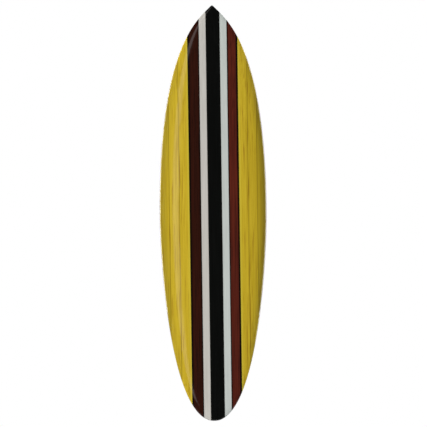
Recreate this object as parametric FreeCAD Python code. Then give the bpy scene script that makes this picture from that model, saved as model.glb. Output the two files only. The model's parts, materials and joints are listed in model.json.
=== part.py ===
import FreeCAD, Part
import math
import os

# A wooden single-fin surfboard, standing on its tail with the nose up (+Z).
# +X is the deck's right-hand side, seen by someone who faces the deck.
# The deck faces -Y and the bottom, with its fin, faces +Y.
# The origin is on the bottom's centreline at half length, the lowest point of the rocker.
# The blank is glued up from full-thickness planks, chambered before gluing.
# All sizes are in millimetres and all angles in degrees.

# --- outline ---------------------------------------------------------------
LENGTH = 1930.0
WIDTH = 499.0
WIDE_POINT = 8.2                 # the widest place is this far forward of half length
NOSE_FULLNESS = 801.0            # length of the outline's handle forward of the wide point
NOSE_HALF_ANGLE = 41.3           # between the axis and the outline where the nose lines meet
NOSE_HANDLE = 78.0               # how far the nose lines stay nearly straight
NOSE_TIP_RADIUS = 5.0
TAIL_FULLNESS = 245.0            # length of the outline's handle behind the wide point
TAIL_ROUNDNESS = 201.0           # sideways handle of the outline at the tail end

# --- rocker, thickness and section -----------------------------------------
THICKNESS = 67.0
NOSE_ROCKER = 115.0
NOSE_ROCKER_POWER = 2.6
TAIL_ROCKER = 45.0
TAIL_ROCKER_POWER = 2.2
NOSE_EDGE_THICKNESS = 13.0
TAIL_EDGE_THICKNESS = 16.0
FOIL_POWER = 2.2
EDGE_ROUNDING = 8.0              # lengthwise radius that closes the thickness at both ends
END_FLAT = 0.25                  # length that the flat end caps take off each closing curve
DECK_CROWN = 0.03                # how much of the thickness the deck's dome takes
# Section control points from the rail's apex to the centreline:
# (share of the half width, share of the thickness above the bottom).
BOTTOM_SECTION = ((1.0, 0.40), (1.0, 0.12), (0.85, 0.02), (0.50, 0.0))
DECK_SECTION = ((1.0, 0.40), (1.0, 0.68), (0.86, 0.90), (0.50, 1.0 - DECK_CROWN))
# Distances from each end where a section is lofted, closer together towards the tips.
END_STATIONS = (0.0, 0.5, 1.5, 3.0, 5.0, 8.0, 12.0, 18.0, 28.0, 45.0, 70.0, 110.0, 170.0)
MIDDLE_STATIONS = 13

# --- planks ----------------------------------------------------------------
CENTRE_PLANK = 65.0
WHITE_PLANK = 32.0
INNER_STRINGER = 4.0             # dark strip between a white plank and a redwood plank
LEFT_REDWOOD = 43.0
RIGHT_REDWOOD = 38.0
OUTER_STRINGER = 7.0             # dark strip between a redwood plank and the yellow planks
FEATHER_EDGE = 3.0               # a rail plank ends where it has thinned to this much
GLUE_UP_OFFSET = 9.7             # the centre plank's middle is this far right of the axis at half length
GLUE_UP_SKEW = 0.478             # the glue lines lean this much, nose to the left

# --- chambers --------------------------------------------------------------
SKIN = 9.0                       # wood left above and below the chambers
RAIL_WALL = 30.0                 # wood left between the chambers and the rail's apex
CHAMBERS_FROM_BOX = 25.0         # solid wood between the fin box and the first bay
CHAMBERS_FROM_NOSE = 250.0
HOLLOW_STATIONS = (0.0, 60.0)    # distances from each end of the hollow where a section is lofted
BAYS = 7
RIB = 24.0
BREATHER_RADIUS = 4.0
BREATHER_SETBACK = 14.0          # from a plank's inner face to the breather hole in its ribs
NARROWEST_POCKET = 12.0          # a plank is hollowed only in bays where its pocket is wider

# --- fin box ---------------------------------------------------------------
BOX_FROM_TAIL = 165.0            # from the tail end to the box's tail end
BOX_LENGTH = 270.0
BOX_END_WALL = 8.0
BOX_SIDE_WALL = 4.7              # beside the channels
BOX_FLOOR = 5.5
SLOT_WIDTH = 9.6
CHANNEL_LIP = 3.0                # how far the channels run in behind the lips on each side
CHANNEL_DEPTH = 9.5              # from the box's mouth to the channel's upper lip
CHANNEL_HEIGHT = 4.2
SLOT_BELOW_CHANNEL = 6.8
DROP_IN_LENGTH = 16.0            # where the lips are cut away to let the plate and pin in
LEASH_PIN_RADIUS = 2.0
LEASH_PIN_FROM_END = 7.0         # from the slot's tail end to the leash pin's axis
LEASH_PIN_COVER = 2.7            # box wall left beyond each end of the pin
LEASH_PIN_ROOM = 0.5             # between the pin and the channels under it

# --- fin -------------------------------------------------------------------
FIN_DEPTH = 216.0
FIN_BASE = 157.0
FIN_SWEEP = 33.0                 # how far the tip stands behind the base's trailing corner
FIN_TAIL_SETBACK = 35.0          # from the slot's tail end to the fin's trailing corner
FIN_GAP = 0.4                    # between the blade and the board's bottom
TRAILING_EDGE = 1.4
TIP_THICKNESS = 3.0
FIN_TAPER_POWER = 1.5
RESIN_EDGE = 9.0                 # width of the clear resin edge around the wooden core
SLIDING_CLEARANCE = 0.2          # on each side of the tab in its slot
TAB_FLOOR_GAP = 1.5
CHANNEL_CLEARANCE = 0.3          # from the plate's and the roll pin's ends to the channel's wall
TONGUE_LENGTH = 15.0             # part of the tab that runs ahead of the blade and takes the screw
TONGUE_TOP = 3.6                 # the tongue's top face below the box's mouth
TONGUE_PLATE_GAP = 0.5
PIN_CLEARANCE = 0.1              # above and below the roll pin in its channel
PIN_SETBACK = 12.0               # from the tab's tail end to the roll pin's axis
PIN_WALL = 0.9
RUNNING_CLEARANCE = 0.05
SCREW_RADIUS = 2.0
SCREW_HOLE_CLEARANCE = 0.3
SCREW_HEAD_RADIUS = 3.7
SCREW_HEAD_HEIGHT = 2.4
SCREW_HEAD_ROUNDING = 0.8
SCREW_CROSS_REACH = 2.5          # half the length of the cross cut in the screw's head
SCREW_TIP_GAP = 2.4              # between the screw's end and the slot's floor
SCREW_SLOT_WIDTH = 0.9
SCREW_SLOT_DEPTH = 1.1
PLATE_LENGTH = 12.0
PLATE_DROP = 1.6                 # room under the plate for the screw to let it down

# --- vent ------------------------------------------------------------------
VENT_BAY = 0                     # the bay, counted from the tail, that the vent opens into
VENT_FLANGE_LIP = 2.0
VENT_FLANGE_THICKNESS = 2.0
VENT_WALL = 1.4                  # the insert's wall around its recess
VENT_PAST_SKIN = 8.0             # how far the insert runs into the bay
VENT_HEAD_CLEARANCE = 0.4
VENT_HEAD_SINK = 0.1             # the screw's head below the flange
VENT_SCREW_RADIUS = 3.0
VENT_HEAD_RADIUS = 6.2
VENT_HEAD_HEIGHT = 2.4
VENT_HEAD_CHAMFER = 0.4
VENT_SCREW_TIP_GAP = 3.5         # between the screw's end and the insert's
VENT_SLOT_WIDTH = 1.4
VENT_SLOT_DEPTH = 1.3
ORING_SECTION_RADIUS = 0.9
ORING_GAP = 0.05

# Handles of the fin's outline: (share of the base ahead of its trailing corner,
# share of the fin's depth), from the base up along the front and down along the back.
LEADING_HANDLES = ((0.90, 0.37), (0.58, 0.99))
TRAILING_HANDLES = ((-0.38, 0.99), (0.27, 0.44))
FOIL_LEVELS = 12
FOIL_TOP = 0.997                 # the last foil's share of the fin's depth
# Control points of half a foil: (share of the chord behind the leading edge,
# share of half the foil's thickness); the last one is at the trailing edge.
FOIL_SECTION = ((0.0, 0.0), (0.0, 0.55), (0.16, 1.15), (0.50, 1.05), (0.80, 0.50))
CORE_STEPS = 36                  # points taken along each outline curve for the core's outline
CORE_SKIP = 3                    # the core's outline runs through every third of them
CROSSING_SHARE = 0.98            # of the resin edge's width, below which offset points have crossed

REACH = 3000.0                   # longer than any board, for the tools that cut right through
FREE = 5.0                       # how far a cutting tool runs out past the face it opens
BISECTIONS = 60                  # halvings that find a place on a curve
SEWING = 0.001                   # tolerance that closes a lofted solid


def vec(x, y, z):
    """A point or direction."""
    return FreeCAD.Vector(x, y, z)


# --- the board's form ------------------------------------------------------

def bezier(points, t):
    """The point at t on a cubic curve with four control points."""
    s = 1.0 - t
    weights = (s ** 3, 3 * s * s * t, 3 * s * t * t, t ** 3)
    return tuple(sum(w * p[axis] for w, p in zip(weights, points)) for axis in (0, 1))


def across(points, place, axis=0, other=1):
    """The other coordinate where the curve's own coordinate reaches place."""
    low, high = 0.0, 1.0
    rising = points[3][axis] > points[0][axis]
    for _ in range(BISECTIONS):
        middle = (low + high) / 2
        if (bezier(points, middle)[axis] < place) == rising:
            low = middle
        else:
            high = middle
    return bezier(points, (low + high) / 2)[other]


HALF = LENGTH / 2
LIMIT = HALF + END_FLAT          # where the curves that close each end would meet
# What fits together takes its size from the same values and a clearance.
SLOT_DEPTH = CHANNEL_DEPTH + CHANNEL_HEIGHT + SLOT_BELOW_CHANNEL
CHANNEL_WIDTH = SLOT_WIDTH + 2 * CHANNEL_LIP
BOX_WIDTH = CHANNEL_WIDTH + 2 * BOX_SIDE_WALL
BOX_DEPTH = SLOT_DEPTH + BOX_FLOOR
LEASH_PIN_DEPTH = CHANNEL_DEPTH - LEASH_PIN_RADIUS - LEASH_PIN_ROOM
TAB_WIDTH = SLOT_WIDTH - 2 * SLIDING_CLEARANCE
TAB_DEPTH = SLOT_DEPTH - TAB_FLOOR_GAP
TONGUE_BOTTOM = CHANNEL_DEPTH - TONGUE_PLATE_GAP
PIN_RADIUS = CHANNEL_HEIGHT / 2 - PIN_CLEARANCE
PIN_LENGTH = CHANNEL_WIDTH - 2 * CHANNEL_CLEARANCE
PLATE_WIDTH = CHANNEL_WIDTH - 2 * CHANNEL_CLEARANCE
PLATE_THICKNESS = CHANNEL_HEIGHT - PLATE_DROP
VENT_RECESS_RADIUS = VENT_HEAD_RADIUS + VENT_HEAD_CLEARANCE
VENT_BODY_RADIUS = VENT_RECESS_RADIUS + VENT_WALL
VENT_FLANGE_RADIUS = VENT_BODY_RADIUS + VENT_FLANGE_LIP
VENT_LENGTH = SKIN + VENT_PAST_SKIN
HEAD_UNDERSIDE = -VENT_HEAD_SINK - VENT_HEAD_HEIGHT
VENT_RECESS_DEPTH = -HEAD_UNDERSIDE + 2 * (ORING_SECTION_RADIUS + ORING_GAP)
CHAMBER_TAIL = -HALF + BOX_FROM_TAIL + BOX_LENGTH + CHAMBERS_FROM_BOX
CHAMBER_NOSE = HALF - CHAMBERS_FROM_NOSE
ANGLE = math.radians(NOSE_HALF_ANGLE)
# The nose lines meet ahead of the rounded tip by this much.
NOSE_POINT = LIMIT + NOSE_TIP_RADIUS * (1 / math.sin(ANGLE) - 1)
NOSE_CURVE = ((WIDE_POINT, WIDTH / 2),
              (WIDE_POINT + NOSE_FULLNESS, WIDTH / 2),
              (NOSE_POINT - NOSE_HANDLE * math.cos(ANGLE), NOSE_HANDLE * math.sin(ANGLE)),
              (NOSE_POINT, 0.0))
TAIL_CURVE = ((WIDE_POINT, WIDTH / 2),
              (WIDE_POINT - TAIL_FULLNESS, WIDTH / 2),
              (-LIMIT, TAIL_ROUNDNESS),
              (-LIMIT, 0.0))


def half_width(z):
    """Half the board's width at z, with the nose's tip rounded."""
    if z < WIDE_POINT:
        return across(TAIL_CURVE, z)
    tip_centre = LIMIT - NOSE_TIP_RADIUS
    touch = tip_centre + NOSE_TIP_RADIUS * math.sin(ANGLE)
    if z > touch:
        return math.sqrt(max(NOSE_TIP_RADIUS ** 2 - (z - tip_centre) ** 2, 0.0))
    return across(NOSE_CURVE, z)


def bottom_y(z):
    """Where the bottom's centreline is at z; the rocker curves it towards the deck."""
    if z > 0:
        return -NOSE_ROCKER * (z / HALF) ** NOSE_ROCKER_POWER
    return -TAIL_ROCKER * (-z / HALF) ** TAIL_ROCKER_POWER


def bottom_slope(z):
    """The bottom's angle to the Z axis at z."""
    step = 0.5
    return math.atan2(bottom_y(z + step) - bottom_y(z - step), 2 * step)


def thickness(z):
    """The board's thickness on its centreline at z, closing to nothing at both ends."""
    edge = NOSE_EDGE_THICKNESS if z > 0 else TAIL_EDGE_THICKNESS
    full = edge + (THICKNESS - edge) * (1 - abs(z / HALF) ** FOIL_POWER)
    gap = LIMIT - abs(z)
    if gap >= EDGE_ROUNDING:
        return full
    return full * math.sqrt(1 - (1 - gap / EDGE_ROUNDING) ** 2)


def station_places(low, high, ends):
    """Places along z from low to high, with the given spacing out from each end."""
    places = [low + gap for gap in ends]
    first, last = low + ends[-1], high - ends[-1]
    for index in range(1, MIDDLE_STATIONS + 1):
        places.append(first + (last - first) * index / (MIDDLE_STATIONS + 1))
    places += [high - gap for gap in reversed(ends)]
    return places


def section_points(z, shares, inset_side, inset_face):
    """The control points of one face's section at z, from the left rail to the right."""
    wide = half_width(z) - inset_side
    thick = thickness(z) - 2 * inset_face
    crown = shares is DECK_SECTION
    middle = (0.0, 1.0 + DECK_CROWN / 2 if crown else 0.0)
    left = [(-a, b) for a, b in shares]
    right = [(a, b) for a, b in reversed(shares)]
    base = bottom_y(z) - inset_face
    return [vec(a * wide, base - b * thick, z) for a, b in left + [middle] + right]


def skin(rows, knots):
    """A smooth surface whose section at each knot has that row of control points."""
    columns = []
    for number in range(len(rows[0])):
        curve = Part.BSplineCurve()
        curve.interpolate(Points=[row[number] for row in rows], Parameters=knots)
        columns.append(curve)
    poles = [list(row) for row in zip(*[curve.getPoles() for curve in columns])]
    count = len(columns)
    surface = Part.BSplineSurface()
    surface.buildFromPolesMultsKnots(poles, columns[0].getMultiplicities(),
                                     [4] + [1] * (count - 4) + [4], columns[0].getKnots(),
                                     [float(k) for k in range(count - 2)], False, False, 3, 3)
    return surface


def closed_solid(surfaces, walls, knots):
    """The solid between surfaces that share their long edges, closed flat at both ends."""
    faces = [surface.toShape() for surface in surfaces] + walls
    for knot in (knots[0], knots[-1]):
        rims = [surface.uIso(knot).toShape() for surface in surfaces]
        rims += [wall.Surface.uIso(knot).toShape() for wall in walls]
        faces.append(Part.Face(Part.Wire(Part.__sortEdges__(rims))))
    shell = Part.Shell(faces)
    shell.sewShape()
    solid = Part.Solid(shell)
    solid.fix(SEWING, SEWING, SEWING)
    return solid


def lofted_body(places, inset_side, inset_face):
    """The solid between the bottom and the deck, closed by a flat face at each end."""
    knots = [math.acos(-z / LIMIT) for z in places]
    faces = [skin([section_points(z, shares, inset_side, inset_face) for z in places], knots)
             for shares in (BOTTOM_SECTION, DECK_SECTION)]
    return closed_solid(faces, [], knots)


# --- planks and chambers ---------------------------------------------------

def block(x, y, z):
    """A box between two corners; each argument is a (low, high) pair."""
    return Part.makeBox(x[1] - x[0], y[1] - y[0], z[1] - z[0], vec(x[0], y[0], z[0]))


def glue_line_x(face, z):
    """Where a glue line that is face right of the centre plank's middle lies at z."""
    return face + GLUE_UP_OFFSET - z * math.tan(math.radians(GLUE_UP_SKEW))


def plank_blank(inner, outer, ends=(-REACH, REACH)):
    """The slab between two glue lines, right through the board unless its ends are given."""
    low, high = sorted((inner, outer))
    slab = block((low, high), (-REACH, REACH), ends)
    slab.rotate(vec(0, 0, 0), vec(0, 1, 0), -GLUE_UP_SKEW)
    slab.translate(vec(GLUE_UP_OFFSET, 0, 0))
    return slab


def rail_ends(face):
    """Where a rail plank outside this glue line has thinned to a feather edge, tail end first."""
    ends = []
    for tip in (-HALF, HALF):
        wide, thin = WIDE_POINT, tip
        for _ in range(BISECTIONS):
            middle = (wide + thin) / 2
            if half_width(middle) - abs(glue_line_x(face, middle)) > FEATHER_EDGE:
                wide = middle
            else:
                thin = middle
        ends.append(wide)
    return ends


BAY_LENGTH = (CHAMBER_NOSE - CHAMBER_TAIL - (BAYS - 1) * RIB) / BAYS
BAY_LIMITS = [(CHAMBER_TAIL + bay * (BAY_LENGTH + RIB),
               CHAMBER_TAIL + bay * (BAY_LENGTH + RIB) + BAY_LENGTH) for bay in range(BAYS)]


def mid_y(z):
    """Half way between the bottom and the deck on the centreline."""
    return bottom_y(z) - thickness(z) / 2


def bay_blocks():
    """One solid for each bay of the hollow inside the board."""
    places = station_places(CHAMBER_TAIL, CHAMBER_NOSE, HOLLOW_STATIONS)
    hollow = lofted_body(places, RAIL_WALL, SKIN)
    return [hollow.common(block((-REACH, REACH), (-REACH, REACH), limits))
            for limits in BAY_LIMITS]


def bays_reached(face):
    """The bays whose hollow runs on past the glue line by a pocket's least width."""
    reached = []
    for number, limits in enumerate(BAY_LIMITS):
        room = min(half_width(z) - RAIL_WALL - abs(glue_line_x(face, z)) for z in limits)
        if room > NARROWEST_POCKET:
            reached.append(number)
    return reached


def rib_breathers(face, side, bays):
    """Round holes along the board through the ribs between a plank's pockets."""
    holes = []
    for bay in bays:
        if bay + 1 in bays:
            low, high = BAY_LIMITS[bay][1], BAY_LIMITS[bay + 1][0]
            middle = (low + high) / 2
            x = glue_line_x(face + side * BREATHER_SETBACK, middle)
            holes.append(Part.makeCylinder(BREATHER_RADIUS, high - low + 2 * FREE,
                                           vec(x, mid_y(middle), low - FREE), vec(0, 0, 1)))
    return holes


def stringer_breathers(bays):
    """Round holes across the board, one for each bay, that join the pockets through a stringer."""
    holes = []
    for bay in bays:
        z = sum(BAY_LIMITS[bay]) / 2
        holes.append(Part.makeCylinder(BREATHER_RADIUS, 2 * REACH,
                                       vec(-REACH, mid_y(z), z), vec(1, 0, 0)))
    return holes


def plank_layout():
    """Each plank's name, blank, inner glue line and hollowing, from the middle outwards."""
    half = CENTRE_PLANK / 2
    layout = [("centre_plank", plank_blank(-half, half), 0.0, "pockets")]
    for side, name, redwood in ((-1, "left", LEFT_REDWOOD), (1, "right", RIGHT_REDWOOD)):
        # The three yellow planks share what the strips leave of the side equally.
        strips = half + WHITE_PLANK + INNER_STRINGER + redwood + OUTER_STRINGER
        yellow = (WIDTH / 2 - side * GLUE_UP_OFFSET - strips) / 3
        widths = (("white_plank_", WHITE_PLANK, "pockets"),
                  ("inner_stringer_", INNER_STRINGER, "holes"),
                  ("redwood_plank_", redwood, "pockets"),
                  ("outer_stringer_", OUTER_STRINGER, "holes"),
                  ("yellow_plank_inner_", yellow, "pockets"))
        face = side * half
        for strip, width, kind in widths:
            layout.append((strip + name, plank_blank(face, face + side * width), face, kind))
            face += side * width
        # The rail plank stops at its feather edges, and the middle plank runs on past them.
        rail_face = face + side * yellow
        far = rail_face + side * WIDTH
        rail = plank_blank(rail_face, far, rail_ends(rail_face))
        layout.append(("yellow_plank_middle_" + name, plank_blank(face, far).cut(rail),
                       face, "pockets"))
        layout.append(("rail_plank_" + name, rail, rail_face, "solid"))
    return layout


def planks(board, recesses):
    """Every plank and stringer of the glued-up board, by name."""
    pieces = {}
    bays = bay_blocks()
    for name, blank, face, kind in plank_layout():
        piece = board.common(blank)
        reached = bays_reached(face)
        tools = [tool for tool in recesses if tool.BoundBox.intersect(piece.BoundBox)]
        if kind == "pockets":
            side = math.copysign(1, face) if face else 0
            tools += [bays[bay] for bay in reached] + rib_breathers(face, side, reached)
        elif kind == "holes":
            tools += stringer_breathers(reached)
        pieces[name] = piece.cut(tools) if tools else piece
    return pieces


# --- pieces set into the bottom --------------------------------------------
# They are built in a frame of their own: +Z along the bottom towards the nose,
# +Y out of the bottom, and the origin on the bottom's centreline.

def on_bottom(shape, z):
    """The shape moved from that frame to the bottom at z."""
    turn = FreeCAD.Rotation(vec(1, 0, 0), -math.degrees(bottom_slope(z)))
    moved = shape.copy()
    moved.Placement = FreeCAD.Placement(vec(0, bottom_y(z), z), turn)
    return moved


def disc(radius, low, high, z=0.0):
    """A round bar along the local Y axis from low to high."""
    return Part.makeCylinder(radius, high - low, vec(0, low, z), vec(0, 1, 0))


def cross_bar(radius, length, y, z):
    """A round bar across the board, centred on the axis."""
    return Part.makeCylinder(radius, length, vec(-length / 2, y, z), vec(1, 0, 0))


BOX_Z = -HALF + BOX_FROM_TAIL + BOX_LENGTH / 2
SLOT_TAIL = -BOX_LENGTH / 2 + BOX_END_WALL
SLOT_NOSE = BOX_LENGTH / 2 - BOX_END_WALL
LEASH_PIN_Z = SLOT_TAIL + LEASH_PIN_FROM_END


def box_outline(low, high):
    """The fin box's round-ended block between two heights."""
    straight = BOX_LENGTH / 2 - BOX_WIDTH / 2
    bar = block((-BOX_WIDTH / 2, BOX_WIDTH / 2), (low, high), (-straight, straight))
    ends = [disc(BOX_WIDTH / 2, low, high, z) for z in (-straight, straight)]
    return bar.fuse(ends).removeSplitter()


def fin_box(board):
    """The slotted box, sanded flush with the bottom."""
    slot = block((-SLOT_WIDTH / 2, SLOT_WIDTH / 2), (-SLOT_DEPTH, 2 * FREE),
                 (SLOT_TAIL, SLOT_NOSE))
    channel = block((-CHANNEL_WIDTH / 2, CHANNEL_WIDTH / 2),
                    (-CHANNEL_DEPTH - CHANNEL_HEIGHT, -CHANNEL_DEPTH), (SLOT_TAIL, SLOT_NOSE))
    drop_in = block((-CHANNEL_WIDTH / 2, CHANNEL_WIDTH / 2),
                    (-CHANNEL_DEPTH - CHANNEL_HEIGHT, 2 * FREE),
                    (SLOT_NOSE - DROP_IN_LENGTH, SLOT_NOSE))
    shape = box_outline(-BOX_DEPTH, FREE).cut([slot, channel, drop_in, leash_pin()])
    return on_bottom(shape, BOX_Z).common(board)


def leash_pin():
    """The cross pin at the slot's tail end that a leash cord loops round."""
    return cross_bar(LEASH_PIN_RADIUS, BOX_WIDTH - 2 * LEASH_PIN_COVER,
                     -LEASH_PIN_DEPTH, LEASH_PIN_Z)


FIN_REAR = SLOT_TAIL + FIN_TAIL_SETBACK
FIN_FRONT = FIN_REAR + FIN_BASE
TONGUE_FRONT = FIN_FRONT + TONGUE_LENGTH
SCREW_Z = FIN_FRONT + TONGUE_LENGTH / 2
FIN_TIP = (FIN_REAR - FIN_SWEEP, FIN_DEPTH)


def fin_handle(share, depth_share):
    """A handle of the fin's outline."""
    return (FIN_REAR + share * FIN_BASE, depth_share * FIN_DEPTH)


# The fin's outline in (place along the slot, height off the bottom).
LEADING_CURVE = ((FIN_FRONT, 0.0), *[fin_handle(*shares) for shares in LEADING_HANDLES], FIN_TIP)
TRAILING_CURVE = (FIN_TIP, *[fin_handle(*shares) for shares in TRAILING_HANDLES], (FIN_REAR, 0.0))


def foil_points(height, side):
    """The control points of one side of the fin at a height off the bottom."""
    front = across(LEADING_CURVE, height, 1, 0)
    chord = front - across(TRAILING_CURVE, height, 1, 0)
    taper = 1 - (height / FIN_DEPTH) ** FIN_TAPER_POWER
    half = (TIP_THICKNESS + (TAB_WIDTH - TIP_THICKNESS) * taper) / 2
    points = [vec(side * half * b, height, front - a * chord) for a, b in FOIL_SECTION]
    return points + [vec(side * TRAILING_EDGE / 2, height, front - chord)]


def fin_blade():
    """The whole foiled blade, wood and resin together."""
    knots = [math.pi / 2 * k / FOIL_LEVELS for k in range(FOIL_LEVELS + 1)]
    heights = [FIN_GAP + (FIN_DEPTH * FOIL_TOP - FIN_GAP) * math.sin(knot) for knot in knots]
    sides = [skin([foil_points(height, side) for height in heights], knots)
             for side in (-1, 1)]
    edges = [side.vIso(side.getVKnots()[-1]).toShape() for side in sides]
    trailing = Part.makeRuledSurface(edges[0], edges[1]).Faces[0]
    return closed_solid(sides, [trailing], knots)


def core_outline():
    """The wooden core's outline, from the front foot round its tip to the rear foot."""
    shares = [k / CORE_STEPS for k in range(CORE_STEPS)]
    run = [bezier(LEADING_CURVE, share) for share in shares]
    run += [bezier(TRAILING_CURVE, share) for share in shares + [1.0]]
    inside = []
    for before, here, after in zip(run, run[1:], run[2:]):
        along, up = after[0] - before[0], after[1] - before[1]
        step = RESIN_EDGE / math.hypot(along, up)
        spot = (here[0] - step * up, here[1] + step * along)
        # Round the tip the two sides cross, and what lies past the crossing is dropped.
        if min(math.dist(spot, place) for place in run) > CROSSING_SHARE * RESIN_EDGE:
            inside.append(spot)
    return inside[::CORE_SKIP]


def core_prism():
    """A block across the board with the outline of the fin's wooden core."""
    corners = [vec(-BOX_WIDTH / 2, height, z) for z, height in core_outline()]
    side = Part.BSplineCurve()
    side.interpolate(Points=corners)
    low_front = vec(corners[0].x, -RESIN_EDGE, corners[0].z)
    low_rear = vec(corners[0].x, -RESIN_EDGE, corners[-1].z)
    feet = Part.makePolygon([corners[-1], low_rear, low_front, corners[0]])
    outline = Part.Wire([side.toShape()] + feet.Edges)
    return Part.Face(outline).extrude(vec(BOX_WIDTH, 0, 0))


def fin_tab():
    """The base tab that fills the slot, with a tongue ahead of the blade for the screw."""
    half = TAB_WIDTH / 2
    body = block((-half, half), (-TAB_DEPTH, FIN_GAP), (FIN_REAR, FIN_FRONT))
    tongue = block((-half, half), (-TONGUE_BOTTOM, -TONGUE_TOP), (FIN_FRONT, TONGUE_FRONT))
    screw_hole = disc(SCREW_RADIUS + SCREW_HOLE_CLEARANCE, -TAB_DEPTH, FREE, SCREW_Z)
    return body.fuse(tongue).removeSplitter().cut([screw_hole, pin_bar(PIN_RADIUS)])


def pin_bar(radius):
    """A bar on the roll pin's axis, at the tab's tail end and in line with the channels."""
    return cross_bar(radius, PIN_LENGTH, -CHANNEL_DEPTH - CHANNEL_HEIGHT / 2,
                     FIN_REAR + PIN_SETBACK)


def roll_pin():
    """The hollow cross pin that runs in the box's channels."""
    return pin_bar(PIN_RADIUS).cut(pin_bar(PIN_RADIUS - PIN_WALL))


def fin_screw():
    """The screw that clamps the tongue to the plate."""
    top = SCREW_HEAD_HEIGHT - TONGUE_TOP
    head = disc(SCREW_HEAD_RADIUS, -TONGUE_TOP, top, SCREW_Z)
    rim = [edge for edge in head.Edges if abs(edge.CenterOfMass.y - top) < RUNNING_CLEARANCE]
    head = head.makeFillet(SCREW_HEAD_ROUNDING, rim)
    shank = disc(SCREW_RADIUS, SCREW_TIP_GAP - SLOT_DEPTH, -TONGUE_TOP, SCREW_Z)
    low, half = top - SCREW_SLOT_DEPTH, SCREW_SLOT_WIDTH / 2
    cross = [block((-half, half), (low, FREE),
                   (SCREW_Z - SCREW_CROSS_REACH, SCREW_Z + SCREW_CROSS_REACH)),
             block((-SCREW_CROSS_REACH, SCREW_CROSS_REACH), (low, FREE),
                   (SCREW_Z - half, SCREW_Z + half))]
    return head.fuse(shank).cut(cross)


def fin_plate():
    """The threaded plate that the screw pulls up under the box's lips."""
    top = -CHANNEL_DEPTH - RUNNING_CLEARANCE
    plate = block((-PLATE_WIDTH / 2, PLATE_WIDTH / 2), (top - PLATE_THICKNESS, top),
                  (SCREW_Z - PLATE_LENGTH / 2, SCREW_Z + PLATE_LENGTH / 2))
    hole = disc(SCREW_RADIUS + RUNNING_CLEARANCE, -SLOT_DEPTH, 0, SCREW_Z)
    return plate.cut(hole)


# --- vent ------------------------------------------------------------------

VENT_Z = sum(BAY_LIMITS[VENT_BAY]) / 2
ORING_RADIUS = VENT_SCREW_RADIUS + RUNNING_CLEARANCE + ORING_SECTION_RADIUS


def vent_outline():
    """The insert's flanged outer form."""
    flange = disc(VENT_FLANGE_RADIUS, -VENT_FLANGE_THICKNESS, 0)
    return flange.fuse(disc(VENT_BODY_RADIUS, -VENT_LENGTH, 0)).removeSplitter()


def vent_insert():
    """The flanged brass bush that holds the vent screw."""
    recess = disc(VENT_RECESS_RADIUS, -VENT_RECESS_DEPTH, FREE)
    bore = disc(VENT_SCREW_RADIUS + RUNNING_CLEARANCE, -VENT_LENGTH - FREE, FREE)
    return vent_outline().cut([recess, bore])


def vent_recess():
    """The stepped hole in the planks for the insert, open to the bottom and the bay."""
    flange = disc(VENT_FLANGE_RADIUS, -VENT_FLANGE_THICKNESS, FREE)
    return flange.fuse(disc(VENT_BODY_RADIUS, -VENT_LENGTH, 0))


def vent_screw():
    """The wide-headed screw that closes the vent."""
    top = HEAD_UNDERSIDE + VENT_HEAD_HEIGHT
    head = disc(VENT_HEAD_RADIUS, HEAD_UNDERSIDE, top)
    rim = [edge for edge in head.Edges if abs(edge.CenterOfMass.y - top) < RUNNING_CLEARANCE]
    head = head.makeChamfer(VENT_HEAD_CHAMFER, rim)
    shape = head.fuse(disc(VENT_SCREW_RADIUS, VENT_SCREW_TIP_GAP - VENT_LENGTH, HEAD_UNDERSIDE))
    slot = block((-VENT_SLOT_WIDTH / 2, VENT_SLOT_WIDTH / 2), (top - VENT_SLOT_DEPTH, top + FREE),
                 (-VENT_HEAD_RADIUS, VENT_HEAD_RADIUS))
    return shape.cut(slot)


def vent_oring():
    """The sealing ring under the vent screw's head."""
    y = -VENT_RECESS_DEPTH + ORING_GAP + ORING_SECTION_RADIUS
    return Part.makeTorus(ORING_RADIUS, ORING_SECTION_RADIUS, vec(0, y, 0), vec(0, 1, 0))


# --- the whole board -------------------------------------------------------

def build():
    """Every piece of the board, by name."""
    board = lofted_body(station_places(-HALF, HALF, END_STATIONS), 0.0, 0.0)
    box_recess = on_bottom(box_outline(-BOX_DEPTH, FREE), BOX_Z)
    pieces = planks(board, [box_recess, on_bottom(vent_recess(), VENT_Z)])
    pieces["fin_box"] = fin_box(board)
    blade = fin_blade()
    core = core_prism()
    at_box = {"leash_pin": leash_pin(), "fin_core": blade.common(core),
              "fin_resin_edge": blade.cut(core), "fin_tab": fin_tab(),
              "fin_roll_pin": roll_pin(), "fin_screw": fin_screw(),
              "fin_plate": fin_plate()}
    at_vent = {"vent_insert": vent_insert(), "vent_screw": vent_screw(),
               "vent_oring": vent_oring()}
    for shapes, z in ((at_box, BOX_Z), (at_vent, VENT_Z)):
        for name, shape in shapes.items():
            pieces[name] = on_bottom(shape, z)
    return pieces


os.makedirs("parts", exist_ok=True)
for node, solid in build().items():
    solid.exportStep("parts/" + node + ".step")
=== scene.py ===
"""Looks of a wooden single-fin surfboard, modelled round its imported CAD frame.

The board stands nose up: +Z runs to the nose, -Y out of the deck and +Y out of the bottom.
Every length is in metres, in the frame's own axes.
"""
import json
import logging
import math
from dataclasses import dataclass, field, replace
from enum import Enum
from typing import Sequence

import bmesh
import bpy
import numpy as np
from mathutils import Matrix, Vector


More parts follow.
